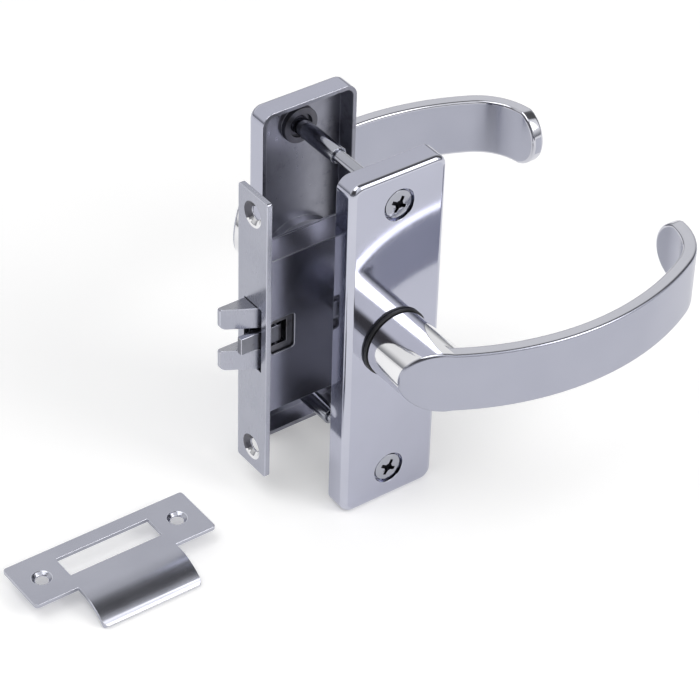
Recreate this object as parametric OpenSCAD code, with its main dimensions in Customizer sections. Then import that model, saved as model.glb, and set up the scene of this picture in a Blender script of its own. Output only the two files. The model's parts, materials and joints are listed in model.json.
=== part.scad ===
// Passage door latch: a mortice latch with two lever handles on plates, and its strike plate.
// The origin is the middle of the forend's outer face. X runs into the door, Y through it, Z up.
// The near side, with the screw heads, is -Y. The strike plate lies loose beside the set.

/* [Door] */
// Thickness of the door, which is the gap between the two plates
door_t = 40; // [38:0.5:46]
// Distance from the forend's outer face to the spindle
backset = 36; // [36:0.5:42]

/* [Handle plates] */
// Width of a plate
plate_w = 37; // [36:0.5:42]
// Height of a plate
plate_h = 132; // [128:1:150]
// Depth of a plate from its rim to its face
plate_t = 8.5; // [8.5:0.25:11]
// Thickness of a plate's walls
plate_wall = 1.6; // [1.2:0.1:1.8]
// Radius of a plate's corners
plate_corner_r = 4.5; // [4.5:0.25:7]
// Radius round the edge of a plate's face
plate_edge_r = 2.2; // [0.8:0.1:2.2]
// Distance between the two tie screws
tie_spacing = 107; // [100:1:110]

/* [Lever handles] */
// Diameter of the neck, which is a little more than the grip's height beside it
neck_d = 23.4; // [22:0.2:25]
// Distance from the spindle to the outside of the grip's bent end
lever_reach = 111.3; // [105:0.5:120]
// Thickness of the grip
grip_t = 4.8; // [4:0.2:5.6]
// Half the height of the grip at its bent end
tip_half = 11; // [10:0.25:11.5]
// Radius of the grip's long bow
bow_r = 100; // [95:1:120]
// Distance along the grip from the spindle to where the bow stands furthest out
bow_x = 53; // [50:1:58]
// Distance from the plate's face to the outside of the bow
lever_out = 42.5; // [41:0.5:50]
// Radius outside the bend at the grip's end
bend_r = 24; // [20:0.5:26]
// Gap between the grip's rounded tip and the plane of the plate's face
tip_gap = 4.5; // [4:0.5:8]
// How far a lever turns down, in degrees
handle_turn = 40; // [36:1:42]

/* [Spindle and bearings] */
// Width across the flats of the square spindle
spindle_sq = 7.8; // [7:0.1:8]
// Diameter of the lever's journal in the plate
journal_d = 18; // [17:0.5:19]
// Outer diameter of the black washer under the neck
washer_d = 24.6; // [24.6:0.2:28]
// Thickness of the black washer
washer_t = 1.2; // [1:0.1:2]
// Outer diameter of the circlip that holds a lever in its plate
circlip_d = 24; // [22:0.5:26]

/* [Latch case] */
// Height of the case
case_h = 61; // [60:0.5:66]
// Thickness of the case's sheet
case_wall = 0.8; // [0.6:0.1:1]
// Distance from the spindle to the back of the case
case_back = 18; // [18:0.25:20]

/* [Forend] */
// Width of the forend
forend_w = 16; // [15:0.5:20]
// Height of the forend
forend_h = 110.5; // [108:0.5:125]
// Thickness of the forend
forend_t = 2; // [2:0.1:2.4]
// Distance between the forend's two screw holes
forend_hole_spacing = 94.4; // [92:0.2:100]

/* [Latch bolt] */
// How far the bolt stands out, which is also how far it draws back
bolt_throw = 10.6; // [9:0.1:11]
// Width of the bolt through the door
bolt_w = 8.6; // [8.4:0.1:9]
// Height of the bolt over both prongs
bolt_h = 24.6; // [24:0.2:26]
// Height of the gap between the two prongs
fork_gap = 8.7; // [8.2:0.1:9.2]
// Thickness of the tongue between the prongs
tongue_t = 2.2; // [1.8:0.1:2.4]
// Height of the tongue
tongue_h = 6.4; // [5.5:0.1:6.8]
// How far the tongue stands out of the forend
tongue_out = 7; // [5:0.25:8]

/* [Strike plate] */
// Length of the strike plate
strike_l = 68.7; // [66:0.5:80]
// Width of the strike plate without its lip
strike_w = 21; // [20:0.5:24]
// Thickness of the strike plate
strike_t = 1.5; // [1.2:0.1:1.8]
// Length of the slot for the bolt
strike_slot_l = 35; // [32:0.5:38]
// Distance between the strike plate's screw holes
strike_hole_spacing = 51.8; // [49:0.2:56]
// Length of the curved lip along the plate
lip_l = 37.3; // [35:0.5:40]
// Radius of the lip's curve
lip_r = 20; // [18:0.5:24]
// How far the lip curves down, in degrees
lip_angle = 42; // [38:1:46]

/* [Hidden] */
$fn = 64;

// Clearances: a turning fit, a slide fit, the play between moving pieces, and a cut's overrun.
turn_fit = 0.05;
slide_fit = 0.25;
play = 0.3;
over = 1;

// Planes through the door, as distances from its middle.
rim_y = door_t / 2;
face_y = rim_y + plate_t;
floor_y = face_y - plate_wall;
bearing_h = 2;
bearing_y = floor_y - bearing_h;
bearing_r = 16;
neck_y = face_y + washer_t + play;
clip_t = 1;
collar_r = circlip_d / 2 + 1;
collar_h = clip_t + play;
clip_y = bearing_y - play - clip_t;
journal_end_y = clip_y - 1.2;

// Tie screws: a domed head in a round recess, and a shank that screws into a sleeve.
tie_head_d = 10;
tie_head_h = 2.3;
tie_dome_r = 26;
tie_recess_d = tie_head_d + 1.6;
tie_recess_h = 2.4;
tie_boss_d = 15;
tie_boss_h = 5.2;
tie_shank_d = 4.2;
tie_shank_end_y = 14;
sleeve_d = 6;
sleeve_end_y = 4.2;
sleeve_boss_d = 13;
sleeve_boss_h = 2;
sleeve_sink_d = sleeve_d + 2.6;
sleeve_sink_h = 1.2;
cross_l = 6;
cross_w = 1.2;
cross_h = 1.5;
cross_bowl_d = 3;

// Lever: the long bow's centre, and the centre of the bend that runs out of it.
neck_r = neck_d / 2;
grip_step = 0.3;
grip_half = neck_r - grip_step;
tip_r = tip_half + 0.6;
bow_y = face_y + lever_out - bow_r;
bend_x = lever_reach - bend_r;
bend_y = bow_y + sqrt(pow(bow_r - bend_r, 2) - pow(bend_x - bow_x, 2));
bend_angle = atan2(bend_y - bow_y, bend_x - bow_x);
tip_y = face_y + tip_gap;
groove_r = journal_d / 2 - 0.8;
socket_depth = 18.7;
socket_end_y = neck_y + socket_depth;
spindle_end_y = socket_end_y - 1;
grub_d = 4;
grub_y = neck_y + 6;
grub_key_d = 2;
grub_key_h = 2;
grub_inset = 0.8;

// Case: its inside is as wide as the bolt and the play on both sides of it.
inner_y = bolt_w / 2 + slide_fit;
outer_y = inner_y + case_wall;
case_x = backset + case_back;
case_z = case_h / 2;
inner_z = case_z - case_wall;
window_x = 4;
window_l = 9;
window_h = 13.5;
window_z = -0.25;
window_corner_r = 1.2;
pillar_d = 5;
pillar_xs = [8, backset + 2];
cover_screw_d = 2.5;
cover_head_d = 4.6;
cover_head_h = 1.2;
cover_slot_w = 0.7;

// The forend's slot is wider on the near side, beside the bolt's bevel.
slot_near = 0.9;

// Screw holes in the forend and the strike plate.
forend_hole_d = 4.6;
forend_sink_d = 9.3;
forend_sink_h = 1.5;
forend_corner_r = 1;
strike_hole_d = 4.4;
strike_sink_d = 6.8;
strike_sink_h = 1;

// Follower: two arms whose flanks are involutes, so that the bolt and the spring move
// in proportion to the turn. A flank's base radius is its travel for each radian of turn.
turn_rad = handle_turn * PI / 180;
cam_r = bolt_throw / turn_rad;
cam_start = 0.1;
cam_lash = 0.15;
spring_arm_r = 11;
spring_arm_start = 0.4;
flank_steps = 10;
flank_margin = 0.03;
hub_d = 16;
hub_journal_d = 13.2;
cam_back_x = -6.5;
spring_arm_half = 4;
spring_arm_w = 6;
stop_d = 5;
stop_x = backset + 12;

// Bolt: the head's back end, the fork's root, and the tail that the follower draws.
head_back = 14.5;
fork_back = 10.5;
nose_w = 1.6;
bevel_end = 2;
prong_low_r = 1.8;
prong_top_r = 0.8;
tail_t = 2.5;
tail_z = cam_r - 1;
tail_h = 6.3;
pillar_z = (inner_z + tail_z + tail_h) / 2;
lug_l = 3.5;
lug_x = backset + cam_r * cam_start + cam_lash;
leg_x = 4;
leg_z = 4;
rise_x = 8;
rivet_d = 2.4;
rivet_spots = [[7, 6.4], [11.8, 9.6]];
foot_x = 3;
foot_l = 5;
foot_w = 6;
foot_drop = 7.7;
rod_d = 3;
rod_z = -bolt_h / 2 - 4.2;
block_x = 28;
block_l = 3;
block_h = 10;
rod_end = block_x + block_l + 1;
tongue_pin_d = 2;
tongue_pin_l = 18;
tongue_eye_d = 4.2;
tongue_x = 7.5;
tongue_y = -bolt_w / 2 + 0.1 + tongue_eye_d / 2;

// Springs: wire diameter, mean coil diameter and turns.
wire_d = 0.8;
coil_d = 4.4;
coil_steps = 14;
wire_sides = 8;
bolt_spring_turns = 9;
handle_spring_turns = 10;
peg_flange_h = 1;
peg_flange_d = 6;
peg_d = 3;
peg_h = 7;

// Strike plate: it lies flat, and its lip's free edge is level with the foot of the plates.
strike_x = -58.5;
strike_y = -4.6;
lip_flat = 1.5;
lip_corner_r = 2;
lip_drop = lip_r + strike_t - lip_r * cos(lip_angle);
strike_z = -plate_h / 2 + lip_drop;
strike_slot_w = bolt_w + 2 * play;
strike_slot_y = 0.5;

// Extrudes a shape drawn in X and Z from y0 to y1.
module along_y(y0, y1) {
    translate([0, y1, 0]) rotate([90, 0, 0]) linear_extrude(y1 - y0) children();
}

// Extrudes a shape drawn in Y and Z from x0 to x1.
module along_x(x0, x1) {
    translate([x0, 0, 0]) rotate([90, 0, 90]) linear_extrude(x1 - x0) children();
}

// Extrudes a shape drawn in X and Y from z0 to z1.
module along_z(z0, z1) {
    translate([0, 0, z0]) linear_extrude(z1 - z0) children();
}

module rod_y(d, y0, y1) {
    translate([0, y0, 0]) rotate([-90, 0, 0]) cylinder(d = d, h = y1 - y0);
}

module rod_x(d, x0, x1) {
    translate([x0, 0, 0]) rotate([0, 90, 0]) cylinder(d = d, h = x1 - x0);
}

module near_side() {
    mirror([0, 1, 0]) children();
}

module rounded_rect(w, h, r) {
    square([w - 2 * r, h], center = true);
    square([w, h - 2 * r], center = true);
    for (x = [-1, 1], y = [-1, 1])
        translate([x * (w / 2 - r), y * (h / 2 - r)]) circle(r);
}

// Places its child at both tie screws.
module at_ties() {
    for (z = [-1, 1]) translate([backset, 0, z * tie_spacing / 2]) children();
}

// Half of a plate's cross-section, with the outer corner rounded.
module edge_profile(half) {
    square([half - plate_edge_r, plate_t]);
    square([half, plate_t - plate_edge_r]);
    translate([half - plate_edge_r, plate_t - plate_edge_r]) circle(plate_edge_r);
}

module full_profile(half) {
    edge_profile(half);
    mirror([1, 0]) edge_profile(half);
}

// The solid that a plate's shell is cut from. Its rim is at y = 0.
module plate_block() {
    straight_x = plate_w / 2 - plate_corner_r;
    straight_z = plate_h / 2 - plate_corner_r;
    along_z(-straight_z, straight_z) full_profile(plate_w / 2);
    along_x(-straight_x, straight_x) mirror([1, -1]) full_profile(plate_h / 2);
    for (x = [-straight_x, straight_x], z = [-straight_z, straight_z])
        translate([x, 0, z]) rotate([-90, 0, 0]) rotate_extrude() edge_profile(plate_corner_r);
}

// A hollow plate with the raised bearing round the lever's journal, and a collar on it that
// stands round the circlip.
module plate_shell() {
    translate([backset, 0, 0]) difference() {
        union() {
            difference() {
                translate([0, rim_y, 0]) plate_block();
                along_y(rim_y - over, floor_y)
                    rounded_rect(plate_w - 2 * plate_wall, plate_h - 2 * plate_wall,
                        plate_corner_r - plate_wall);
            }
            rod_y(2 * bearing_r, bearing_y - collar_h, floor_y);
        }
        rod_y(2 * collar_r, bearing_y - collar_h - over, bearing_y);
        rod_y(journal_d + 2 * turn_fit, bearing_y - over, face_y + over);
    }
}

module near_plate() {
    color("silver") near_side() difference() {
        union() {
            plate_shell();
            at_ties() rod_y(tie_boss_d, face_y - tie_boss_h, floor_y);
        }
        at_ties() rod_y(tie_shank_d + play, face_y - tie_boss_h - over, face_y + over);
        at_ties() rod_y(tie_recess_d, face_y - tie_recess_h, face_y + over);
    }
}

module far_plate() {
    color("silver") difference() {
        union() {
            plate_shell();
            at_ties() rod_y(sleeve_boss_d, floor_y - sleeve_boss_h, floor_y);
        }
        at_ties() {
            rod_y(sleeve_d + 2 * turn_fit, floor_y - sleeve_boss_h - over, floor_y);
            rod_y(sleeve_sink_d, floor_y - sleeve_boss_h - over,
                floor_y - sleeve_boss_h + sleeve_sink_h);
        }
    }
}

// A wedge from the centre, between two angles less than a half turn apart.
module sector(r, a0, a1) {
    mid = (a0 + a1) / 2;
    polygon([[0, 0], 2 * r * [cos(a0), sin(a0)], 2 * r * [cos(mid), sin(mid)],
        2 * r * [cos(a1), sin(a1)]]);
}

module arc_band(r, t, a0, a1) {
    intersection() {
        difference() {
            circle(r);
            circle(r - t);
        }
        sector(r, a0, a1);
    }
}

// The area under the grip's outline in plan, or under its inside when inset by its thickness.
module grip_area(inset) {
    far = 2 * bow_r;
    intersection() {
        translate([bow_x, bow_y]) circle(bow_r - inset);
        translate([bend_x, bend_y]) polygon([[0, 0], far * [cos(bend_angle), sin(bend_angle)],
            [-far, far], [-far, 0]]);
    }
    translate([bend_x, bend_y]) circle(bend_r - inset);
    translate([bend_x, rim_y]) square([bend_r - inset, bend_y - rim_y]);
}

module grip_plan() {
    difference() {
        grip_area(0);
        grip_area(grip_t);
        translate([bend_x - 2 * bend_r, bend_y - 2 * bend_r])
            square([2 * bend_r + over, 2 * bend_r + over]);
    }
}

// The lever seen from the side: round at the neck, and narrower toward its tip.
module lever_side() {
    slope = (grip_half - tip_half) / lever_reach;
    end_z = tip_half - over * slope;
    circle(neck_r);
    polygon([[0, grip_half], [lever_reach + over, end_z], [lever_reach + over, -end_z],
        [0, -grip_half]]);
}

// What is cut from the grip's end to round its tip, in Y and Z.
module tip_waste() {
    difference() {
        translate([tip_y - 2 * tip_r, -2 * tip_r]) square([3 * tip_r, 4 * tip_r]);
        translate([tip_y + tip_r, 0]) circle(tip_r);
    }
}

module grip() {
    difference() {
        intersection() {
            along_z(-neck_r - over, neck_r + over) grip_plan();
            along_y(rim_y - bend_r, face_y + lever_out + over) lever_side();
        }
        along_x(bend_x, lever_reach + over) tip_waste();
    }
}

// The neck, as far as the bow's outer surface.
module neck() {
    intersection() {
        rod_y(neck_d, neck_y, face_y + lever_out);
        along_z(-neck_r, neck_r) translate([bow_x, bow_y]) circle(bow_r, $fn = 128);
    }
}

module lever() {
    translate([backset, 0, 0]) difference() {
        union() {
            grip();
            neck();
            rod_y(journal_d, journal_end_y, neck_y);
        }
        difference() {
            rod_y(journal_d + over, clip_y, clip_y + clip_t);
            rod_y(2 * groove_r, clip_y - over, clip_y + clip_t + over);
        }
        along_y(journal_end_y - over, socket_end_y)
            square(spindle_sq + 2 * turn_fit, center = true);
        translate([0, grub_y, -neck_r - over])
            cylinder(d = grub_d + 2 * turn_fit, h = neck_r + over);
    }
}

module near_lever() {
    color("lightsteelblue") near_side() lever();
}

module far_lever() {
    color("lightsteelblue") lever();
}

module washer() {
    translate([backset, 0, 0]) difference() {
        rod_y(washer_d, face_y, face_y + washer_t);
        rod_y(journal_d + 2 * play, face_y - over, face_y + washer_t + over);
    }
}

module near_washer() {
    color("black") near_side() washer();
}

module far_washer() {
    color("black") washer();
}

// An open ring in the journal's groove.
module circlip() {
    translate([backset, 0, 0]) difference() {
        rod_y(circlip_d, clip_y, clip_y + clip_t);
        rod_y(2 * groove_r, clip_y - over, clip_y + clip_t + over);
        along_y(clip_y - over, clip_y + clip_t + over)
            translate([-groove_r / 2, -circlip_d]) square([groove_r, circlip_d]);
    }
}

module near_circlip() {
    color("dimgray") near_side() circlip();
}

module far_circlip() {
    color("dimgray") circlip();
}

module grub_screw() {
    length = neck_r - spindle_sq / 2 - grub_inset;
    translate([backset, grub_y, -spindle_sq / 2 - length]) difference() {
        cylinder(d = grub_d, h = length);
        translate([0, 0, -over]) cylinder(d = grub_key_d, h = grub_key_h + over, $fn = 6);
    }
}

module grub_screws() {
    color("dimgray") {
        near_side() grub_screw();
        grub_screw();
    }
}

module spindle() {
    color("gray") translate([backset, 0, 0])
        along_y(-spindle_end_y, spindle_end_y) square(spindle_sq, center = true);
}

// A domed head with a cross recess. Its underside is at y = 0 and its top faces -Y.
module cross_head() {
    difference() {
        intersection() {
            rod_y(tie_head_d, -tie_head_h, 0);
            translate([0, tie_dome_r - tie_head_h, 0]) sphere(tie_dome_r);
        }
        translate([0, -tie_head_h, 0]) sphere(d = cross_bowl_d);
        for (a = [30, 120]) rotate([0, a, 0])
            translate([-cross_l / 2, -tie_head_h - over, -cross_w / 2])
                cube([cross_l, cross_h + over, cross_w]);
    }
}

module tie_screws() {
    color("silver") at_ties() {
        translate([0, tie_recess_h - face_y, 0]) cross_head();
        rod_y(tie_shank_d, tie_recess_h - face_y, tie_shank_end_y);
    }
}

module tie_sleeves() {
    color("silver") at_ties() difference() {
        rod_y(sleeve_d, sleeve_end_y, floor_y);
        rod_y(tie_shank_d + 2 * turn_fit, sleeve_end_y - over, tie_shank_end_y + over);
    }
}

// One side of the case, with the hole for the follower's journal.
module case_sheet(y0, y1) {
    difference() {
        translate([forend_t, y0, -case_z]) cube([case_x - forend_t, y1 - y0, case_h]);
        translate([backset, 0, 0]) rod_y(hub_journal_d + 2 * turn_fit, y0 - over, y1 + over);
    }
}

// Near side, top, bottom and back of the case, folded from one sheet.
module case_body() {
    color("slategray") difference() {
        union() {
            case_sheet(-outer_y, -inner_y);
            for (z = [-case_z, inner_z])
                translate([forend_t, -outer_y, z])
                    cube([case_x - forend_t, outer_y + inner_y, case_wall]);
            translate([case_x - case_wall, -outer_y, -case_z])
                cube([case_wall, outer_y + inner_y, case_h]);
        }
        along_y(-outer_y - over, over - inner_y) translate([window_x + window_l / 2, window_z])
            rounded_rect(window_l, window_h, window_corner_r);
    }
}

module at_pillars() {
    for (x = pillar_xs, z = [-pillar_z, pillar_z]) translate([x, 0, z]) children();
}

module case_cover() {
    color("slategray") difference() {
        case_sheet(inner_y, outer_y);
        at_pillars() rod_y(cover_screw_d + 2 * turn_fit, inner_y - over, outer_y + over);
    }
}

module case_pillars() {
    color("gray") at_pillars() difference() {
        rod_y(pillar_d, -inner_y, inner_y);
        rod_y(cover_screw_d, 0, inner_y + over);
    }
}

module cover_screws() {
    color("silver") at_pillars() difference() {
        union() {
            rod_y(cover_screw_d, 0, outer_y);
            rod_y(cover_head_d, outer_y, outer_y + cover_head_h);
        }
        translate([-cover_head_d, outer_y + cover_head_h / 2, -cover_slot_w / 2])
            cube([2 * cover_head_d, cover_head_h, cover_slot_w]);
    }
}

module forend() {
    slot_h = bolt_h + 2 * play;
    color("silver") difference() {
        along_x(0, forend_t) rounded_rect(forend_w, forend_h, forend_corner_r);
        translate([-over, -bolt_w / 2 - slot_near, -slot_h / 2])
            cube([forend_t + 2 * over, bolt_w + slot_near + play, slot_h]);
        for (z = [-1, 1]) translate([0, 0, z * forend_hole_spacing / 2]) {
            rod_x(forend_hole_d, -over, forend_t + over);
            rotate([0, 90, 0])
                cylinder(d1 = forend_sink_d, d2 = forend_hole_d, h = forend_sink_h);
        }
    }
}

// A point of the flank that pushes the bolt's tail, at roll t of its involute.
function cam_point(t) = let(d = (t - cam_start) * 180 / PI)
    cam_r * [t * cos(d) - sin(d), t * sin(d) + cos(d)];

// A point of the flank that presses the handle spring, at roll t of its involute.
function spring_arm_point(t) = let(d = (t - spring_arm_start) * 180 / PI)
    spring_arm_r * [cos(d) + t * sin(d), sin(d) - t * cos(d)];

function rolls(start) = [for (i = [0:flank_steps])
    start + (turn_rad + flank_margin) * i / flank_steps];

module cam_arm() {
    flank = [for (t = rolls(cam_start)) cam_point(t)];
    tip = flank[flank_steps];
    polygon(concat([[0, 0], [flank[0][0], 0]], flank, [[cam_back_x + over, tip[1] - over],
        [cam_back_x, 0]]));
}

module spring_arm() {
    flank = [for (t = rolls(spring_arm_start)) spring_arm_point(t)];
    tip = flank[flank_steps];
    polygon(concat([[0, spring_arm_half], [0, -spring_arm_start * spring_arm_r]], flank,
        [[tip[0], spring_arm_half]]));
}

module follower() {
    color("gray") translate([backset, 0, 0]) difference() {
        union() {
            rod_y(hub_d, slide_fit - inner_y, inner_y - slide_fit);
            rod_y(hub_journal_d, -outer_y, outer_y);
            along_y(slide_fit - inner_y, inner_y - slide_fit - tail_t - play) cam_arm();
            along_y(-spring_arm_w / 2, spring_arm_w / 2) spring_arm();
        }
        along_y(-outer_y - over, outer_y + over)
            square(spindle_sq + 2 * turn_fit, center = true);
    }
}

// The pillar that the spring arm rests under when the levers are level.
module follower_stop() {
    color("gray") translate([stop_x, 0, spring_arm_half + play + stop_d / 2])
        rod_y(stop_d, -inner_y, inner_y);
}

// A coil of round wire along Z, from z = 0 to z = length.
module coil(length, turns) {
    steps = turns * coil_steps;
    rise = length - wire_d;
    points = [for (i = [0:steps], j = [0:wire_sides - 1])
        let(a = 360 * i / coil_steps, b = 360 * j / wire_sides,
            r = coil_d / 2 + wire_d / 2 * cos(b))
        [r * cos(a), r * sin(a), wire_d / 2 * (1 + sin(b)) + rise * i / steps]];
    walls = [for (i = [0:steps - 1], j = [0:wire_sides - 1])
        let(k = (j + 1) % wire_sides, a = i * wire_sides, b = a + wire_sides)
        [a + j, a + k, b + k, b + j]];
    first = [for (j = [0:wire_sides - 1]) wire_sides - 1 - j];
    last = [for (j = [0:wire_sides - 1]) steps * wire_sides + j];
    polyhedron(points, concat([first], walls, [last]));
}

module spring_peg() {
    color("gray") translate([backset + spring_arm_r, 0, -inner_z]) {
        cylinder(d = peg_flange_d, h = peg_flange_h);
        cylinder(d = peg_d, h = peg_h);
    }
}

module handle_spring() {
    foot = -inner_z + peg_flange_h;
    color("silver") translate([backset + spring_arm_r, 0, foot])
        coil(-spring_arm_start * spring_arm_r - foot, handle_spring_turns);
}

// The bolt from above: a flat nose, and a bevel on the near side.
module bolt_plan() {
    half = bolt_w / 2;
    polygon([[-bolt_throw, half], [head_back, half], [head_back, -half], [bevel_end, -half],
        [-bolt_throw, half - nose_w]]);
}

// A prong from the side, with its two front corners rounded.
module prong_side(bottom) {
    height = (bolt_h - fork_gap) / 2;
    low_x = prong_low_r - bolt_throw;
    top_x = prong_top_r - bolt_throw;
    straight = height - prong_low_r - prong_top_r;
    translate([low_x, bottom + prong_low_r]) circle(prong_low_r);
    translate([top_x, bottom + height - prong_top_r]) circle(prong_top_r);
    translate([low_x, bottom]) square([head_back - low_x, height]);
    translate([top_x, bottom + prong_low_r]) square([head_back - top_x, height - prong_low_r]);
    translate([-bolt_throw, bottom + prong_low_r]) square([head_back + bolt_throw, straight]);
}

module bolt_side() {
    prong_side(-bolt_h / 2);
    prong_side(fork_gap / 2);
    translate([fork_back, -bolt_h / 2]) square([head_back - fork_back, bolt_h]);
}

module tail_outline() {
    polygon([[leg_x, leg_z], [head_back, leg_z], [head_back, tail_z],
        [lug_x + lug_l, tail_z], [lug_x + lug_l, tail_z + tail_h], [rise_x, tail_z + tail_h],
        [rise_x, bolt_h / 2], [leg_x, bolt_h / 2]]);
}

module at_rivets() {
    for (spot = rivet_spots) translate([spot[0], 0, spot[1]]) children();
}

module latch_bolt() {
    color("silver") difference() {
        union() {
            intersection() {
                along_z(-bolt_h / 2, bolt_h / 2) bolt_plan();
                along_y(-bolt_w / 2, bolt_w / 2) bolt_side();
            }
            translate([foot_x, -foot_w / 2, -bolt_h / 2 - foot_drop])
                cube([foot_l, foot_w, foot_drop + over]);
        }
        translate([leg_x, bolt_w / 2 - tail_t, leg_z])
            cube([head_back, tail_t + over, bolt_h]);
        at_rivets() rod_y(rivet_d, 0, bolt_w / 2);
        translate([tongue_x, tongue_y, -tongue_pin_l / 2])
            cylinder(d = tongue_pin_d, h = tongue_pin_l);
    }
}

// The flat tail, and the lug across it that the follower's cam arm draws back.
module bolt_tail() {
    color("gray") difference() {
        union() {
            along_y(bolt_w / 2 - tail_t, bolt_w / 2) tail_outline();
            translate([lug_x, -bolt_w / 2, tail_z]) cube([lug_l, bolt_w, tail_h]);
        }
        at_rivets() rod_y(rivet_d, 0, bolt_w);
    }
}

module tail_rivets() {
    color("gray") at_rivets() rod_y(rivet_d, 0, bolt_w / 2);
}

module guide_rod() {
    color("gray") translate([0, 0, rod_z]) rod_x(rod_d, foot_x + foot_l, rod_end);
}

module spring_block() {
    color("gray") difference() {
        translate([block_x, -inner_y, rod_z - block_h / 2])
            cube([block_l, 2 * inner_y, block_h]);
        translate([0, 0, rod_z])
            rod_x(rod_d + 2 * turn_fit, block_x - over, block_x + block_l + over);
    }
}

module bolt_spring() {
    start = foot_x + foot_l;
    color("silver") translate([start, 0, rod_z]) rotate([0, 90, 0])
        coil(block_x - start, bolt_spring_turns);
}

// The tongue: a flat blade along the bolt's near side, with an eye on its pin.
module tongue() {
    blade_y = tongue_y - tongue_eye_d / 2;
    color("silver") difference() {
        along_z(-tongue_h / 2, tongue_h / 2) {
            translate([tongue_x, tongue_y]) circle(d = tongue_eye_d);
            translate([-tongue_out, blade_y]) square([tongue_out + tongue_x, tongue_t]);
        }
        translate([tongue_x, tongue_y, -tongue_h / 2 - over])
            cylinder(d = tongue_pin_d + 2 * turn_fit, h = tongue_h + 2 * over);
    }
}

module tongue_pin() {
    color("gray") translate([tongue_x, tongue_y, -tongue_pin_l / 2])
        cylinder(d = tongue_pin_d, h = tongue_pin_l);
}

// The lip's curve in Y and Z, starting flat at the origin and turning down toward -Y.
module lip_curve() {
    translate([0, -lip_r - strike_t]) arc_band(lip_r + strike_t, strike_t, 90, 90 + lip_angle);
}

// The strike plate from above, with the lip's free corners rounded.
module strike_plan() {
    lip_end = -strike_w / 2 - lip_flat - lip_r - strike_t;
    reach = (lip_r + strike_t) * sin(lip_angle);
    free_edge = -strike_w / 2 - lip_flat - reach;
    square([strike_l, strike_w], center = true);
    translate([-lip_l / 2, free_edge + lip_corner_r])
        square([lip_l, -strike_w / 2 - free_edge]);
    translate([lip_corner_r - lip_l / 2, lip_end])
        square([lip_l - 2 * lip_corner_r, -strike_w / 2 - lip_end]);
    for (x = [-1, 1])
        translate([x * (lip_l / 2 - lip_corner_r), free_edge + lip_corner_r])
            circle(lip_corner_r);
}

module strike_plate() {
    slot_y = strike_slot_y - strike_slot_w / 2;
    color("silver") translate([strike_x, strike_y, strike_z]) difference() {
        intersection() {
            union() {
                translate([-strike_l / 2, -strike_w / 2 - lip_flat, -strike_t])
                    cube([strike_l, strike_w + lip_flat, strike_t]);
                translate([0, -strike_w / 2 - lip_flat, 0])
                    along_x(-lip_l / 2, lip_l / 2) lip_curve();
            }
            along_z(-lip_r - strike_t, over) strike_plan();
        }
        translate([-strike_slot_l / 2, slot_y, -strike_t - over])
            cube([strike_slot_l, strike_slot_w, strike_t + 2 * over]);
        for (x = [-1, 1]) translate([x * strike_hole_spacing / 2, 0, -strike_t]) {
            translate([0, 0, -over]) cylinder(d = strike_hole_d, h = strike_t + 2 * over);
            translate([0, 0, strike_t - strike_sink_h])
                cylinder(d1 = strike_hole_d, d2 = strike_sink_d, h = strike_sink_h);
        }
    }
}

near_plate();
far_plate();
near_lever();
far_lever();
near_washer();
far_washer();
near_circlip();
far_circlip();
grub_screws();
spindle();
tie_screws();
tie_sleeves();
case_body();
case_cover();
case_pillars();
cover_screws();
forend();
follower();
follower_stop();
handle_spring();
spring_peg();
latch_bolt();
bolt_tail();
tail_rivets();
guide_rod();
spring_block();
bolt_spring();
tongue();
tongue_pin();
strike_plate();
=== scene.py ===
"""Looks of a passage door latch: every CAD node redrawn with rounded edges and its finishes."""
import json
import math

import bmesh
import bpy
from mathutils import Matrix, Vector


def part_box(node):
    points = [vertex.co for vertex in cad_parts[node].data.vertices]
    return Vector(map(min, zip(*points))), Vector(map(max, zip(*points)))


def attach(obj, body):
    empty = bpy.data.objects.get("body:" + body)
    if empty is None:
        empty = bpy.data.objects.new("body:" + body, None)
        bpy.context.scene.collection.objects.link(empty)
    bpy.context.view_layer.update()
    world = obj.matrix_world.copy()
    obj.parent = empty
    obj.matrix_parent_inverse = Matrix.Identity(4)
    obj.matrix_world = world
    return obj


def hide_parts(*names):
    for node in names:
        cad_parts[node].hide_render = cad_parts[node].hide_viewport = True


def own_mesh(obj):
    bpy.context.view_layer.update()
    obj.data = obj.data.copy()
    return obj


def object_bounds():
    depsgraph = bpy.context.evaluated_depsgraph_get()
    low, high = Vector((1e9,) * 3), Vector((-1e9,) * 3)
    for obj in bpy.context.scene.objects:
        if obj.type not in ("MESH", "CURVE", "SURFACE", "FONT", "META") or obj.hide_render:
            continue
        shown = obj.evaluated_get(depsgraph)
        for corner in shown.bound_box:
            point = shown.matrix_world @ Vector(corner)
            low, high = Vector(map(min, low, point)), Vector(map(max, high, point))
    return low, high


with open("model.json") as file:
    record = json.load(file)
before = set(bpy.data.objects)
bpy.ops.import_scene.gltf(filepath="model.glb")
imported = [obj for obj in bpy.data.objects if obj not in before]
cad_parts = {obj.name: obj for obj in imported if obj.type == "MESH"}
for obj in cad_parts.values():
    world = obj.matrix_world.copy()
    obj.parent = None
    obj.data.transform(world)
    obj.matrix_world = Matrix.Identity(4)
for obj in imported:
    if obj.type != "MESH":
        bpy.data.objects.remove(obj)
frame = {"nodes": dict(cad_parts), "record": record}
cad_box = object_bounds()
nodes = frame["nodes"]
record = frame["record"]

MM = 0.001


def box_mm(name):
    """Lowest and highest corner of a CAD node, in millimetres."""
    low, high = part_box(name)
    return low / MM, high / MM


# Places in the part's frame, in millimetres. Across the door they are distances from its middle.
plate_low, plate_high = box_mm("near_plate")
strike_low, strike_high = box_mm("strike_plate")
lever_high = box_mm("near_lever")[1]
SPINDLE_X = (plate_low.x + plate_high.x) / 2
STRIKE_X = (strike_low.x + strike_high.x) / 2
FOREND_T = box_mm("forend")[1].x

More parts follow.
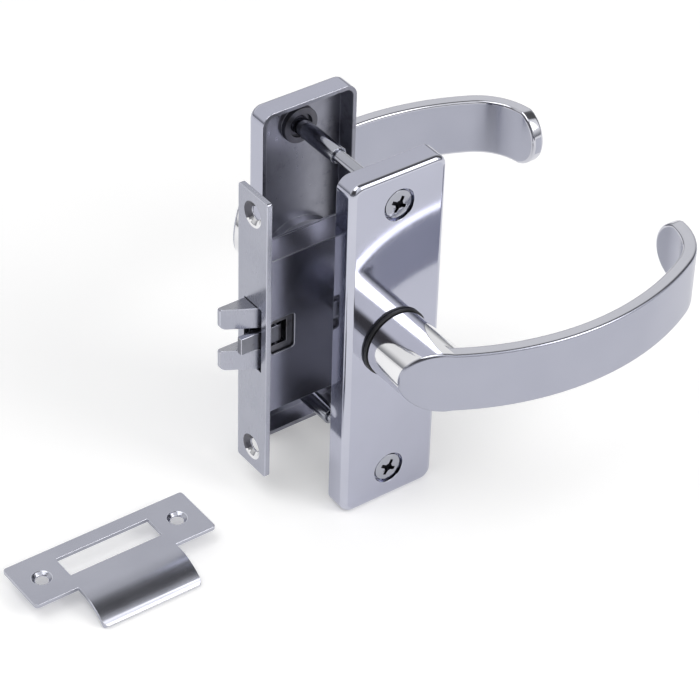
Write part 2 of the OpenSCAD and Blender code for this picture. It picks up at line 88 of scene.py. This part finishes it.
# The plates: face, rim, floor of the hollow, and the seats and bosses of the tie screws.
PLATE_HALF_W = (plate_high.x - plate_low.x) / 2
PLATE_HALF_H = plate_high.z
FACE_Y = -plate_low.y
RIM_Y = -plate_high.y
HOLLOW_Y = 26.9
PLATE_WALL = 1.5
EDGE_BAND = 5.0
TIE_Z = 53.5
SEAT_Y = -26.0
SEAT_R = 5.85
BOSS_R = 8.0

# The tie screws' heads: a dome, and a cross recess in it.
HEAD_DROP = 0.1
DOME_R = 26.0
CROSS_R = 3.6
CROSS_TOP = 0.12
CROSS_FOOT = 2.0

# The levers: a neck, a grip that is a wide bow, and a tight bend at its end.
NECK_R = lever_high.z
NECK_Y = 31.0
NECK_END_X = 48.0
LEVER_END_X = lever_high.x
BOW_CENTRE = (89.0, -29.0)
BOW_R = 100.0
BEND_R = 24.0
BEND_CENTRE = (LEVER_END_X - BEND_R, 38.82)
GRUB_CENTRE = Vector((SPINDLE_X, 36.0, -10.0))
GRUB_REACH = 4.5

# The strike plate's four outer corners lie further than this from its middle.
STRIKE_CORNER_X = 34.0

# Camera: fitted to the photograph.
EYE = Vector((-435.0, -632.2, 591.7)) * MM
LOOK = Vector((0.47382, 0.63093, -0.61434)).normalized()
ROLL = math.radians(1.797)
LENS = 154.3
SENSOR_W = 36.0
NEAREST = 0.01
FARTHEST = 20.0


def add_camera():
    data = bpy.data.cameras.new("camera")
    data.lens = LENS
    data.sensor_width = SENSOR_W
    data.sensor_fit = "HORIZONTAL"
    data.clip_start = NEAREST
    data.clip_end = FARTHEST
    camera = bpy.data.objects.new("camera", data)
    level_right = LOOK.cross(Vector((0, 0, 1))).normalized()
    level_up = level_right.cross(LOOK)
    right = level_right * math.cos(ROLL) + level_up * math.sin(ROLL)
    up = level_up * math.cos(ROLL) - level_right * math.sin(ROLL)
    turn = Matrix((right, up, -LOOK)).transposed()
    camera.matrix_world = Matrix.Translation(EYE) @ turn.to_4x4()
    bpy.context.scene.collection.objects.link(camera)
    bpy.context.scene.camera = camera


class Finish:
    """A Principled material with helpers for its nodes."""

    def __init__(self, name, color, metallic, rough, specular=0.5):
        self.material = bpy.data.materials.new(name)
        self.material.use_nodes = True
        self.tree = self.material.node_tree
        self.shader = self.tree.nodes["Principled BSDF"]
        self.shader.inputs["Base Color"].default_value = (*color, 1)
        self.shader.inputs["Metallic"].default_value = metallic
        self.shader.inputs["Roughness"].default_value = rough
        self.shader.inputs["Specular IOR Level"].default_value = specular

    def add(self, kind, **values):
        node = self.tree.nodes.new(kind)
        for key, value in values.items():
            setattr(node, key, value)
        return node

    def link(self, source, target):
        self.tree.links.new(source, target)

    def drive(self, socket, value):
        """Lets a node's output drive one of the shader's sockets."""
        self.link(value, self.shader.inputs[socket])

    def place(self, stretch):
        """The place on the piece, scaled along each axis."""
        coordinates = self.add("ShaderNodeTexCoord")
        mapping = self.add("ShaderNodeMapping")
        mapping.inputs["Scale"].default_value = stretch
        self.link(coordinates.outputs["Object"], mapping.inputs["Vector"])
        return mapping.outputs["Vector"]

    def noise(self, scale, stretch=(1, 1, 1), detail=4.0, rough=0.55):
        node = self.add("ShaderNodeTexNoise")
        node.inputs["Scale"].default_value = scale
        node.inputs["Detail"].default_value = detail
        node.inputs["Roughness"].default_value = rough
        self.link(self.place(stretch), node.inputs["Vector"])
        return node.outputs["Fac"]

    def spread(self, value, low, high, start=0.3, end=0.7):
        """Spreads the part of a value between start and end over low to high."""
        node = self.add("ShaderNodeMapRange")
        node.inputs["From Min"].default_value = start
        node.inputs["From Max"].default_value = end
        node.inputs["To Min"].default_value = low
        node.inputs["To Max"].default_value = high
        self.link(value, node.inputs["Value"])
        return node.outputs["Result"]

    def tint(self, value, first, second):
        """Mixes two colours; the first may be another node's output."""
        node = self.add("ShaderNodeMix", data_type="RGBA")
        if isinstance(first, tuple):
            node.inputs["A"].default_value = (*first, 1)
        else:
            self.link(first, node.inputs["A"])
        node.inputs["B"].default_value = (*second, 1)
        self.link(value, node.inputs["Factor"])
        return node.outputs["Result"]

    def combine(self, operation, first, second):
        """Two outputs put together by one operation."""
        node = self.add("ShaderNodeMath", operation=operation)
        self.link(first, node.inputs[0])
        self.link(second, node.inputs[1])
        return node.outputs["Value"]

    def bump(self, value, strength, distance):
        node = self.add("ShaderNodeBump")
        node.inputs["Strength"].default_value = strength
        node.inputs["Distance"].default_value = distance
        self.link(value, node.inputs["Height"])
        return node.outputs["Normal"]


# Noise scales are in waves per metre, and the bump's depth is in metres.
CLOUD_SCALE = 45.0
STAIN_SCALE = 140.0
STAIN_SHARE = 0.8
STAIN_RANGE = (0.56, 0.70)
SMUDGE_SCALE = 70.0
SMUDGE_SHARE = 0.15
SMUDGE_RANGE = (0.35, 0.75)
BRUSH_DEPTH = 0.00003


def metal(name, dark, light, rough, grain, stretch, bump, stain=None):
    """Plated metal: cloudy colour, streaked roughness, a fine brushed bump, and stains."""
    made = Finish(name, light, metallic=1.0, rough=rough[0])
    cloud = made.noise(CLOUD_SCALE, detail=5.0)
    color = made.tint(made.spread(cloud, 0.0, 1.0), dark, light)
    if stain is not None:
        spots = made.noise(STAIN_SCALE, detail=6.0, rough=0.7)
        stained = made.spread(spots, 0.0, STAIN_SHARE, *STAIN_RANGE)
        color = made.tint(stained, color, stain)
    made.drive("Base Color", color)
    brush = made.noise(grain, stretch, detail=3.0, rough=0.6)
    streaks = made.spread(brush, rough[0], rough[1])
    smudge = made.noise(SMUDGE_SCALE, detail=2.0)
    dulled = made.spread(smudge, 0.0, SMUDGE_SHARE * rough[1], *SMUDGE_RANGE)
    made.drive("Roughness", made.combine("ADD", streaks, dulled))
    made.drive("Normal", made.bump(brush, bump, BRUSH_DEPTH))
    return made.material


# Polished chrome: the plates' faces, their edges in a lighter chrome that is a painted highlight,
# the levers' edges, and their necks in a still lighter chrome that is a painted sheen.
chrome = metal("polished_chrome", dark=(0.445, 0.455, 0.54), light=(0.465, 0.475, 0.565),
    rough=(0.06, 0.09), grain=1200.0, stretch=(1, 1, 0.2), bump=0.02)
edge_chrome = metal("painted_highlight_chrome", dark=(0.50, 0.51, 0.59), light=(0.54, 0.55, 0.63),
    rough=(0.06, 0.10), grain=1200.0, stretch=(1, 1, 1), bump=0.02)
lever_chrome = metal("lever_chrome", dark=(0.55, 0.555, 0.61), light=(0.60, 0.605, 0.66),
    rough=(0.06, 0.10), grain=1200.0, stretch=(1, 1, 0.2), bump=0.02)
# A lighter copy of the lever chrome: a painted sheen on the necks, and a painted highlight on the
# lower side of the forend's countersinks.
painted_sheen_chrome = metal("painted_sheen_chrome", dark=(0.78, 0.78, 0.80), light=(0.83, 0.83, 0.85),
    rough=(0.05, 0.08), grain=1200.0, stretch=(1, 0.2, 1), bump=0.02)

# Satin chrome on the levers' broad faces, and the plates' hollows and rims: unpolished and
# stained, and darker as painted shade.
satin = metal("satin_chrome", dark=(0.39, 0.40, 0.475), light=(0.42, 0.43, 0.505),
    rough=(0.225, 0.235), grain=2600.0, stretch=(0.06, 0.3, 1), bump=0.004)
inside = metal("unpolished_plate_painted_shade", dark=(0.27, 0.275, 0.32), light=(0.35, 0.355, 0.41),
    rough=(0.26, 0.36), grain=900.0, stretch=(1, 1, 0.3), bump=0.08, stain=(0.17, 0.17, 0.20))

# Satin nickel: the forend and the bolt, their edges in a lighter nickel that is a painted
# highlight, the bolt's tops in a tone of their own that is painted top light, and the strike
# plate.
nickel = metal("satin_nickel", dark=(0.37, 0.38, 0.445), light=(0.42, 0.43, 0.495),
    rough=(0.22, 0.28), grain=2400.0, stretch=(1, 1, 0.06), bump=0.05)
# The edges' nickel is lighter than the faces': a painted highlight.
edge_nickel = metal("painted_highlight_nickel", dark=(0.52, 0.53, 0.60), light=(0.58, 0.59, 0.66),
    rough=(0.14, 0.20), grain=1200.0, stretch=(1, 1, 1), bump=0.04)
painted_top_light_nickel = metal("painted_top_light_nickel", dark=(0.33, 0.335, 0.37), light=(0.44, 0.445, 0.48),
    rough=(0.20, 0.28), grain=1200.0, stretch=(0.3, 1, 1), bump=0.06)
strike_nickel = metal("strike_nickel", dark=(0.41, 0.42, 0.485), light=(0.45, 0.46, 0.525),
    rough=(0.16, 0.21), grain=2400.0, stretch=(0.06, 1, 1), bump=0.05)

# The case and its cut edges.
case_steel = metal("case_steel", dark=(0.32, 0.325, 0.385), light=(0.38, 0.385, 0.455),
    rough=(0.21, 0.22), grain=900.0, stretch=(1, 1, 0.5), bump=0.005)
case_edge = metal("case_edge", dark=(0.30, 0.31, 0.36), light=(0.36, 0.37, 0.43),
    rough=(0.28, 0.36), grain=900.0, stretch=(1, 1, 1), bump=0.06)

# Steel: bright tie screws, their cross recesses painted near black as painted shade, the tongue, a
# dark stained steel that is painted shade in hollows, on countersinks' upper sides and inside the
# case, and hidden pieces.
bright = metal("bright_steel", dark=(0.35, 0.36, 0.41), light=(0.44, 0.45, 0.50),
    rough=(0.10, 0.16), grain=1500.0, stretch=(1, 0.1, 1), bump=0.05)
painted_cross_shade = metal("painted_recess_shade", dark=(0.012, 0.012, 0.016), light=(0.03, 0.03, 0.036),
    rough=(0.35, 0.5), grain=900.0, stretch=(1, 1, 1), bump=0.1)
tongue_steel = metal("tongue_steel", dark=(0.16, 0.165, 0.19), light=(0.25, 0.255, 0.29),
    rough=(0.26, 0.36), grain=900.0, stretch=(1, 1, 1), bump=0.12, stain=(0.10, 0.10, 0.11))
painted_shade_steel = metal("painted_shade_steel", dark=(0.10, 0.10, 0.12), light=(0.17, 0.17, 0.19),
    rough=(0.34, 0.44), grain=900.0, stretch=(1, 1, 1), bump=0.12, stain=(0.05, 0.045, 0.04))
zinc = metal("zinc_steel", dark=(0.34, 0.35, 0.39), light=(0.46, 0.47, 0.51),
    rough=(0.22, 0.32), grain=700.0, stretch=(1, 1, 1), bump=0.1)
spring = metal("spring_steel", dark=(0.18, 0.18, 0.21), light=(0.26, 0.26, 0.29),
    rough=(0.25, 0.33), grain=900.0, stretch=(1, 1, 1), bump=0.08)


def black_plastic():
    """Matt black plastic with a fine grain."""
    made = Finish("black_plastic", (0.012, 0.012, 0.014), metallic=0.0, rough=0.42)
    grain = made.noise(scale=1800.0, detail=4.0)
    tone = made.spread(grain, 0.0, 1.0)
    made.drive("Base Color", made.tint(tone, (0.010, 0.010, 0.012), (0.020, 0.020, 0.023)))
    made.drive("Roughness", made.spread(grain, low=0.36, high=0.5))
    made.drive("Normal", made.bump(grain, strength=0.2, distance=0.00004))
    return made.material


plastic = black_plastic()

# Places in a piece's list of finishes. Every piece has a main one, and most have one for edges.
# Then come those of a plate, a lever, a tie screw, the forend, and the bolt and the tongue.
MAIN = 0
EDGE = 1
HOLLOW = 2
BOSS = 3
BROAD = 1
NECK = 2
CROSS = 2
CONE_FOOT = 2
CONE_TOP = 3
REAR = 2
BOLT_TOP = 3

# How closely a face's middle must lie on a surface, in millimetres.
TOUCH = 0.05
CLOSE = 0.1
NEAR = 0.2
# How much of a face's normal points one way, from nearly all of it to nearly none.
FLUSH = 0.995
SQUARE = 0.9
SLIGHT = 0.3
TINY = 0.1
UPRIGHT = 0.02
# The satin of a lever's outer face runs this far down its rounded edge, in millimetres.
SATIN_DEPTH = 0.7
SATIN_FACING = 0.6
# A countersink's cone faces partly along X; its lower and near sides take a bright chrome as a
# painted highlight, and its upper side a dark steel as painted shade.
CONE_FLATTEST = 0.95
CONE_NEAR_SHARE = 0.6
CONE_SPLIT = 0.15
# The bolt and the tongue take a dark steel from here inwards: painted shade inside the case.
REAR_X = FOREND_T - 0.8


# Each of these picks a face's finish from its middle in millimetres, its normal, and whether it
# is part of a rounded edge.
def plain_face(middle, normal, edge):
    return EDGE if edge else MAIN


def plate_face(middle, normal, edge):
    across = abs(middle.x - SPINDLE_X)
    up = abs(middle.z)
    out = abs(middle.y)
    from_screw = math.hypot(across, up - TIE_Z)
    within = across < PLATE_HALF_W - PLATE_WALL and up < PLATE_HALF_H - PLATE_WALL
    head_seat = middle.y < SEAT_Y and from_screw < SEAT_R
    hollow = within and not head_seat
    # Bosses deep in the hollow take the dark steel: painted shade.
    if hollow and from_screw < BOSS_R and out < HOLLOW_Y - NEAR:
        return BOSS
    # The rim and the hollow take the darker unpolished finish, partly painted shade.
    rim = out < RIM_Y + TOUCH and abs(normal.y) > SQUARE
    if rim or (hollow and out < HOLLOW_Y + TOUCH):
        return HOLLOW
    # Rounded edges and slanted faces near the outline take the lighter chrome: a painted
    # highlight.
    slanted = max(abs(part) for part in normal) < FLUSH
    in_band = across > PLATE_HALF_W - EDGE_BAND or up > PLATE_HALF_H - EDGE_BAND
    upright = abs(normal.y) < UPRIGHT
    return EDGE if edge or (slanted and in_band and not upright) else MAIN


def away_from(middle, centre):
    """The way from a curve's centre to this place, alike for both levers."""
    return Vector((middle.x - centre[0], abs(middle.y) - centre[1]))


def is_satin_edge(middle, normal, centre, radius):
    """Whether a face of a rounded edge belongs to the outer face of this curve."""
    away = away_from(middle, centre)
    side = math.copysign(1, middle.y)
    facing = (normal.x * away.x + side * normal.y * away.y) / away.length
    return away.length > radius - SATIN_DEPTH and facing > SATIN_FACING


def lever_face(middle, normal, edge):
    past_bend = middle.x > BEND_CENTRE[0]
    if edge:
        on_bow = is_satin_edge(middle, normal, BOW_CENTRE, BOW_R)
        on_bend = past_bend and is_satin_edge(middle, normal, BEND_CENTRE, BEND_R)
        return BROAD if on_bow or on_bend else MAIN
    from_spindle = math.hypot(middle.x - SPINDLE_X, middle.z)
    # The neck takes the lighter chrome: a painted sheen.
    if abs(from_spindle - NECK_R) < CLOSE and abs(normal.y) < TINY:
        return NECK
    bow = away_from(middle, BOW_CENTRE).length > BOW_R - NEAR
    bend = past_bend and away_from(middle, BEND_CENTRE).length > BEND_R - NEAR
    end = middle.x > LEVER_END_X - CLOSE
    inner = abs(middle.y) > NECK_Y and (abs(normal.y) > SLIGHT or middle.x > NECK_END_X)
    return BROAD if (bow or bend or end or inner) and abs(normal.z) < SLIGHT else MAIN


def screw_face(middle, normal, edge):
    # The cross recess is painted near black: painted shade in the recess.
    from_axis = math.hypot(middle.x - SPINDLE_X, abs(middle.z) - TIE_Z)
    below_dome = middle.y + FACE_Y - HEAD_DROP - from_axis ** 2 / (2 * DOME_R)
    return CROSS if from_axis < CROSS_R and CROSS_TOP < below_dome < CROSS_FOOT else MAIN


def forend_face(middle, normal, edge):
    # A countersink's lower and near sides get a painted highlight, its upper side painted shade.
    if not edge and SLIGHT < abs(normal.x) < CONE_FLATTEST:
        return CONE_FOOT if normal.z + CONE_NEAR_SHARE * normal.y > CONE_SPLIT else CONE_TOP
    return plain_face(middle, normal, edge)


def bolt_face(middle, normal, edge):
    # Faces that point up take a finish of their own: painted top light.
    if normal.z > SQUARE and not edge:
        return BOLT_TOP
    # Faces inside the case take the dark steel: painted shade.
    if middle.x > REAR_X:
        return REAR
    return plain_face(middle, normal, edge)


def plain(width, finish):
    """A piece of one finish all over."""
    return width, (finish,), None


PLATE = (0.2, (chrome, edge_chrome, inside, painted_shade_steel), plate_face)
LEVER = (1.1, (lever_chrome, satin, painted_sheen_chrome), lever_face)
# Each piece: width of its rounded edges in millimetres, finishes, and how a face picks one.
PIECES = {
    "near_plate": PLATE,
    "far_plate": PLATE,
    "near_lever": LEVER,
    "far_lever": LEVER,
    "near_washer": plain(0.3, plastic),
    "far_washer": plain(0.3, plastic),
    "near_circlip": plain(0.12, spring),
    "far_circlip": plain(0.12, spring),
    "grub_screws": plain(0.12, spring),
    "spindle": plain(0.3, zinc),
    "tie_screws": (0.15, (bright, bright, painted_cross_shade), screw_face),
    "tie_sleeves": plain(0.25, bright),
    "case_body": (0.3, (case_steel, case_edge), plain_face),
    "case_cover": (0.2, (case_steel, case_edge), plain_face),
    "case_pillars": plain(0.2, zinc),
    "cover_screws": plain(0.12, zinc),
    "forend": (0.2, (nickel, edge_nickel, painted_sheen_chrome, painted_shade_steel), forend_face),
    "follower": plain(0.25, zinc),
    "follower_stop": plain(0.3, zinc),
    "spring_peg": plain(0.2, zinc),
    "latch_bolt": (0.25, (nickel, edge_nickel, painted_shade_steel, painted_top_light_nickel), bolt_face),
    "bolt_tail": plain(0.2, zinc),
    "tail_rivets": plain(0.15, zinc),
    "guide_rod": plain(0.3, zinc),
    "spring_block": plain(0.25, zinc),
    # The tongue's tops take the lighter edge nickel: painted top light.
    "tongue": (0.2, (tongue_steel, edge_nickel, painted_shade_steel, edge_nickel), bolt_face),
    "tongue_pin": plain(0.15, zinc),
    "strike_plate": (0.2, (strike_nickel, edge_nickel), plain_face),
    "handle_spring": plain(0, spring),
    "bolt_spring": plain(0, spring),
}
# Each spring: a joint, the coil's axis, its fixed end, and what is left; the script only gives
# these pieces a mesh of their own.
SPRINGS = {
    "handle_spring": ("handle_turn", (0, 0, 1), (47.0, 0, -28.7), 0.684),
    "bolt_spring": ("bolt_slide", (1, 0, 0), (28.0, 0, -16.5), 0.47),
}
# Pieces that keep their inner corners sharp.
OUTER_ONLY = ("near_lever", "far_lever")
SHARP = math.radians(35)
FLAT = math.radians(0.5)
ROUND_STEPS = 3
# How close two corners of a mesh are when they become one, in metres: before the edges are
# rounded, on the strike plate, and after.
SAME_CORNER = 1e-6
MERGE = {"strike_plate": 0.4 * MM}
SAME_ROUNDED_CORNER = 1e-7
# How far an upright edge's two ends may lie apart in plan, in millimetres.
UPRIGHT_SLACK = 0.01


def is_grub_edge(edge):
    middle = (edge.verts[0].co + edge.verts[1].co) / 2 / MM
    folded = Vector((middle.x, abs(middle.y), middle.z))
    return (folded - GRUB_CENTRE).length < GRUB_REACH


def is_neck_rim(edge):
    return all(abs(corner.co.y) < NECK_Y * MM for corner in edge.verts)


def is_strike_corner(edge):
    start, end = (corner.co / MM for corner in edge.verts)
    upright = (start - end).xy.length < UPRIGHT_SLACK
    return upright and abs(start.x - STRIKE_X) > STRIKE_CORNER_X


# Edges that are rounded first, by a width of their own.
LEVER_FIRST = ((is_grub_edge, 0.25), (is_neck_rim, 0.3))
FIRST = {
    "near_lever": LEVER_FIRST,
    "far_lever": LEVER_FIRST,
    "strike_plate": ((is_strike_corner, 1.2),),
}


def sharp_edges(shape, name):
    return [edge for edge in shape.edges
        if edge.is_manifold and edge.calc_face_angle(0) > SHARP
        and (edge.is_convex or name not in OUTER_ONLY)]


def round_edges(shape, edges, width):
    """Rounds the edges and returns the new faces."""
    made = bmesh.ops.bevel(shape, geom=edges, offset=width * MM, offset_type="OFFSET",
        segments=ROUND_STEPS, profile=0.5, affect="EDGES", clamp_overlap=False)
    return made["faces"]


def rounded_mesh(name, width, pick):
    """The node's mesh with its sharp edges rounded and each face given its finish."""
    shape = bmesh.new()
    shape.from_mesh(nodes[name].data)
    bmesh.ops.remove_doubles(shape, verts=shape.verts, dist=MERGE.get(name, SAME_CORNER))
    bmesh.ops.dissolve_limit(shape, angle_limit=FLAT, verts=shape.verts, edges=shape.edges)
    mark = shape.faces.layers.int.new("edge")
    first = FIRST.get(name, ())
    for is_first, first_width in first:
        chosen = [edge for edge in sharp_edges(shape, name) if is_first(edge)]
        round_edges(shape, chosen, first_width)
    if width:
        others = [edge for edge in sharp_edges(shape, name)
            if not any(is_first(edge) for is_first, _ in first)]
        for face in round_edges(shape, others, width):
            face[mark] = 1
    bmesh.ops.remove_doubles(shape, verts=shape.verts, dist=SAME_ROUNDED_CORNER)
    shape.normal_update()
    for face in shape.faces:
        face.smooth = True
        middle = face.calc_center_median() / MM
        face.material_index = pick(middle, face.normal, face[mark]) if pick else MAIN
    shape.faces.layers.int.remove(mark)
    mesh = bpy.data.meshes.new(name + "_rounded")
    shape.to_mesh(mesh)
    shape.free()
    return mesh


def weigh_normals(piece):
    """Bakes face-weighted normals, so that flat faces stay flat beside rounded edges."""
    modifier = piece.modifiers.new("normals", "WEIGHTED_NORMAL")
    modifier.keep_sharp = True
    graph = bpy.context.evaluated_depsgraph_get()
    mesh = bpy.data.meshes.new_from_object(piece.evaluated_get(graph))
    piece.modifiers.clear()
    piece.data = mesh


def add_pieces():
    bodies = record["behaviour"]["bodies"]
    body_of = {name: body for body, names in bodies.items() for name in names}
    for name, (width, finishes, pick) in PIECES.items():
        piece = bpy.data.objects.new(name + "_rounded", rounded_mesh(name, width, pick))
        for finish in finishes:
            piece.data.materials.append(finish)
        bpy.context.scene.collection.objects.link(piece)
        weigh_normals(piece)
        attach(piece, body_of[name])
        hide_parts(name)
        if name in SPRINGS:
            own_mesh(piece)


FLOOR_HALF = 6.0
FLOOR_GLOW = 0.20
FLOOR_CLOUDS = 3.0


def glow_seen(finish, level):
    """A little of the background's white, for what the camera and the metal see."""
    path = finish.add("ShaderNodeLightPath")
    seen = path.outputs["Is Camera Ray"]
    for key in ("Is Glossy Ray", "Is Transmission Ray"):
        seen = finish.combine("MAXIMUM", seen, path.outputs[key])
    strength = finish.add("ShaderNodeMath", operation="MULTIPLY")
    strength.inputs[1].default_value = level
    finish.link(seen, strength.inputs[0])
    finish.shader.inputs["Emission Color"].default_value = (1, 1, 1, 1)
    finish.drive("Emission Strength", strength.outputs["Value"])


def add_stage():
    """A pale floor under the part's lowest point."""
    height = cad_box[0].z
    square = [(x * FLOOR_HALF, y * FLOOR_HALF, height)
        for x, y in ((-1, -1), (1, -1), (1, 1), (-1, 1))]
    mesh = bpy.data.meshes.new("floor")
    mesh.from_pydata(square, [], [(0, 1, 2, 3)])
    floor = bpy.data.objects.new("floor", mesh)
    bpy.context.scene.collection.objects.link(floor)
    pale = Finish("floor", (0.93, 0.93, 0.93), metallic=0.0, rough=0.9, specular=0.0)
    clouds = pale.noise(FLOOR_CLOUDS)
    pale.drive("Base Color", pale.tint(clouds, (0.92, 0.92, 0.92), (0.94, 0.94, 0.94)))
    glow_seen(pale, FLOOR_GLOW)
    mesh.materials.append(pale.material)


# Brightness of the studio's ceiling from the front, -Y, to the back, and at the horizon.
CEILING = [(-1.0, 0.60), (-0.85, 1.00), (-0.62, 1.15), (-0.44, 1.05), (-0.34, 0.12), (-0.10, 0.12),
    (0.06, 0.22), (0.30, 0.75), (0.60, 0.90), (1.0, 0.85)]
HORIZON = (0.27, 0.275, 0.29)
HORIZON_TOP = 0.34
# The front of the studio is dark on its left side, and the neck shows that as a dark band.
DARK_SIDE = (0.09, 0.085, 0.085)
SIDE_FROM_X = (-0.34, -0.58)
SIDE_FROM_Y = (0.35, -0.05)
# The lamps, in metres and watts.
AIM = Vector((0.03, 0, 0))
KEY_FROM = Vector((0.43, -0.70, 0.57))
KEY_AWAY = 1.5
KEY_SIZE = 0.70
KEY_POWER = 5.4
KEY_COLOR = (1.0, 0.98, 0.95)
TOP_PLACE = Vector((-0.6, -0.1, 1.4))
TOP_SIZE = 1.0
TOP_POWER = 7.5
WHITE = (1, 1, 1)


def gray(level):
    return (level, level, level, 1)


def add_world():
    world = bpy.data.worlds.new("world")
    bpy.context.scene.world = world
    world.use_nodes = True
    tree = world.node_tree
    direction = tree.nodes.new("ShaderNodeTexCoord")
    split = tree.nodes.new("ShaderNodeSeparateXYZ")
    across = tree.nodes.new("ShaderNodeMapRange")
    across.inputs["From Min"].default_value = -1.0
    ceiling = tree.nodes.new("ShaderNodeValToRGB")
    ceiling.color_ramp.interpolation = "EASE"
    stops = ceiling.color_ramp.elements
    stops.remove(stops[1])
    stops[0].position = 0.0
    stops[0].color = gray(CEILING[0][1])
    for place, level in CEILING[1:]:
        stops.new((place + 1) / 2).color = gray(level)
    sides = []
    for start, end in (SIDE_FROM_X, SIDE_FROM_Y):
        side = tree.nodes.new("ShaderNodeMapRange")
        side.interpolation_type = "SMOOTHSTEP"
        side.inputs["From Min"].default_value = start
        side.inputs["From Max"].default_value = end
        sides.append(side)
    both = tree.nodes.new("ShaderNodeMath")
    both.operation = "MULTIPLY"
    darker = tree.nodes.new("ShaderNodeMix")
    darker.data_type = "RGBA"
    darker.inputs["B"].default_value = (*DARK_SIDE, 1)
    height = tree.nodes.new("ShaderNodeMapRange")
    height.interpolation_type = "SMOOTHSTEP"
    height.inputs["From Max"].default_value = HORIZON_TOP
    mix = tree.nodes.new("ShaderNodeMix")
    mix.data_type = "RGBA"
    mix.inputs["A"].default_value = (*HORIZON, 1)
    background = tree.nodes["Background"]
    for source, target in (
            (direction.outputs["Generated"], split.inputs["Vector"]),
            (split.outputs["Y"], across.inputs["Value"]),
            (across.outputs["Result"], ceiling.inputs["Fac"]),
            (split.outputs["X"], sides[0].inputs["Value"]),
            (split.outputs["Y"], sides[1].inputs["Value"]),
            (sides[0].outputs["Result"], both.inputs[0]),
            (sides[1].outputs["Result"], both.inputs[1]),
            (both.outputs["Value"], darker.inputs["Factor"]),
            (ceiling.outputs["Color"], darker.inputs["A"]),
            (split.outputs["Z"], height.inputs["Value"]),
            (height.outputs["Result"], mix.inputs["Factor"]),
            (darker.outputs["Result"], mix.inputs["B"]),
            (mix.outputs["Result"], background.inputs["Color"])):
        tree.links.new(source, target)


def add_lamp(name, place, size, power, color=WHITE):
    """A square soft light that the camera doesn't see, turned to the part."""
    data = bpy.data.lights.new(name, "AREA")
    data.shape = "SQUARE"
    data.size = size
    data.energy = power
    data.color = color
    lamp = bpy.data.objects.new(name, data)
    lamp.visible_camera = False
    lamp.location = place
    lamp.rotation_euler = (AIM - place).to_track_quat("-Z", "Y").to_euler()
    bpy.context.scene.collection.objects.link(lamp)


def add_light():
    add_world()
    add_lamp("key", KEY_FROM * KEY_AWAY, KEY_SIZE, KEY_POWER, KEY_COLOR)
    add_lamp("top", TOP_PLACE, TOP_SIZE, TOP_POWER)


add_pieces()
add_camera()
add_stage()
add_light()
bpy.context.scene.view_settings.view_transform = "Standard"
